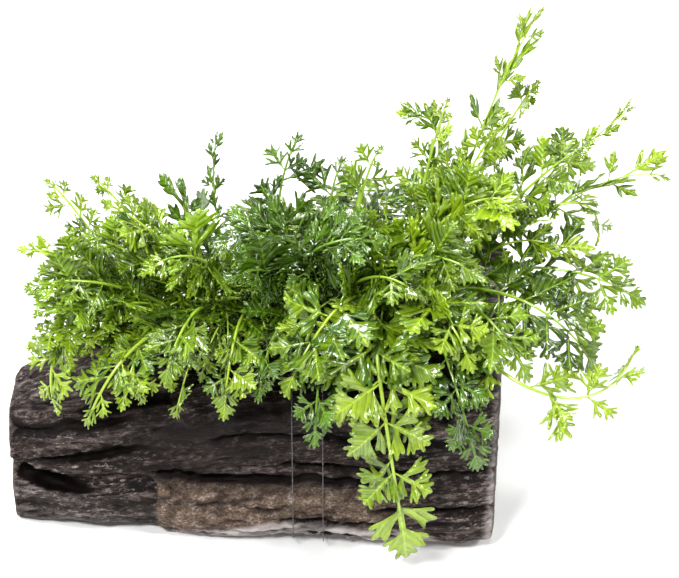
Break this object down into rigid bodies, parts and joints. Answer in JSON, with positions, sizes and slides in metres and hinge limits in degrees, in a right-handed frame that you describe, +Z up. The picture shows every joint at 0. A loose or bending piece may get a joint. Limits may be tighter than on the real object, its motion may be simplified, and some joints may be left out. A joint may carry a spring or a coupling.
{
  "type": "aquarium fern on driftwood",
  "caption": "Water fern with finely divided arching fronds, its creeping rhizome tied with thread along the top of a block of dark driftwood.",
  "frame": {"origin": "near the middle of the driftwood's flat underside, on it", "axes": "+X along the driftwood towards its sawn end, -Y towards the side that the picture shows, +Z up out of the wood"},
  "size_m": [0.2001, 0.1404, 0.1451],
  "materials": {
    "driftwood": "wet, dark, long weathered in water, with open cracks along the grain",
    "rhizome": "living, dark green-brown, scaly",
    "root": "living, dark brown, thin and wiry",
    "thread": "pale grey nylon thread",
    "leaf_dark": "living, wet, dark green",
    "leaf_mid": "living, wet, mid green",
    "leaf_bright": "living, wet, bright green",
    "leaf_lime": "living, wet, young yellow-green"
  },
  "bodies": {
    "root": {"driftwood": "driftwood", "rhizome": "rhizome", "root_1": "root", "root_2": "root", "root_3": "root", "root_4": "root", "thread_turn_1": "thread", "thread_turn_2": "thread", "frond_front_long": "leaf_lime", "frond_front_spread_left": "leaf_bright", "frond_front_spread_right": "leaf_bright", "frond_front_drop_left": "leaf_bright", "frond_front_drop_centre": "leaf_dark", "frond_front_low_left": "leaf_dark", "frond_front_low_right": "leaf_dark", "frond_right_inner": "leaf_mid", "frond_left_hang_outer": "leaf_lime", "frond_left_hang_inner": "leaf_lime", "frond_left_drop": "leaf_mid", "frond_left_wall": "leaf_bright", "frond_left_corner": "leaf_bright", "frond_left_low": "leaf_mid", "frond_left_reach": "leaf_mid", "frond_left_far": "leaf_bright", "frond_left_shoulder": "leaf_mid", "frond_left_crest": "leaf_bright", "frond_left_sprig_outer": "leaf_bright", "frond_left_sprig_inner": "leaf_bright", "frond_top_grey": "leaf_dark", "frond_top_thin": "leaf_dark", "frond_top_spray": "leaf_dark", "frond_top_centre": "leaf_dark", "frond_top_umbel": "leaf_mid", "frond_top_curl": "leaf_lime", "frond_top_tuft": "leaf_lime", "frond_top_tall": "leaf_lime", "frond_top_inner": "leaf_bright", "frond_top_right": "leaf_bright", "frond_right_high": "leaf_mid", "frond_right_thin": "leaf_lime", "frond_right_far": "leaf_lime", "frond_right_hang": "leaf_bright", "frond_right_wiry": "leaf_bright", "frond_right_reach": "leaf_mid", "frond_right_broad": "leaf_mid", "frond_right_low": "leaf_lime", "frond_centre_left": "leaf_mid", "frond_centre": "leaf_dark", "frond_centre_low": "leaf_dark", "frond_centre_front": "leaf_mid", "frond_centre_right": "leaf_dark", "frond_centre_far_right": "leaf_mid", "frond_crown_right": "leaf_bright", "frond_back_left": "leaf_mid", "frond_back_centre_left": "leaf_dark", "frond_back_centre": "leaf_mid", "frond_back_centre_right": "leaf_mid", "frond_back_right": "leaf_bright"}
  },
  "joints": []
}
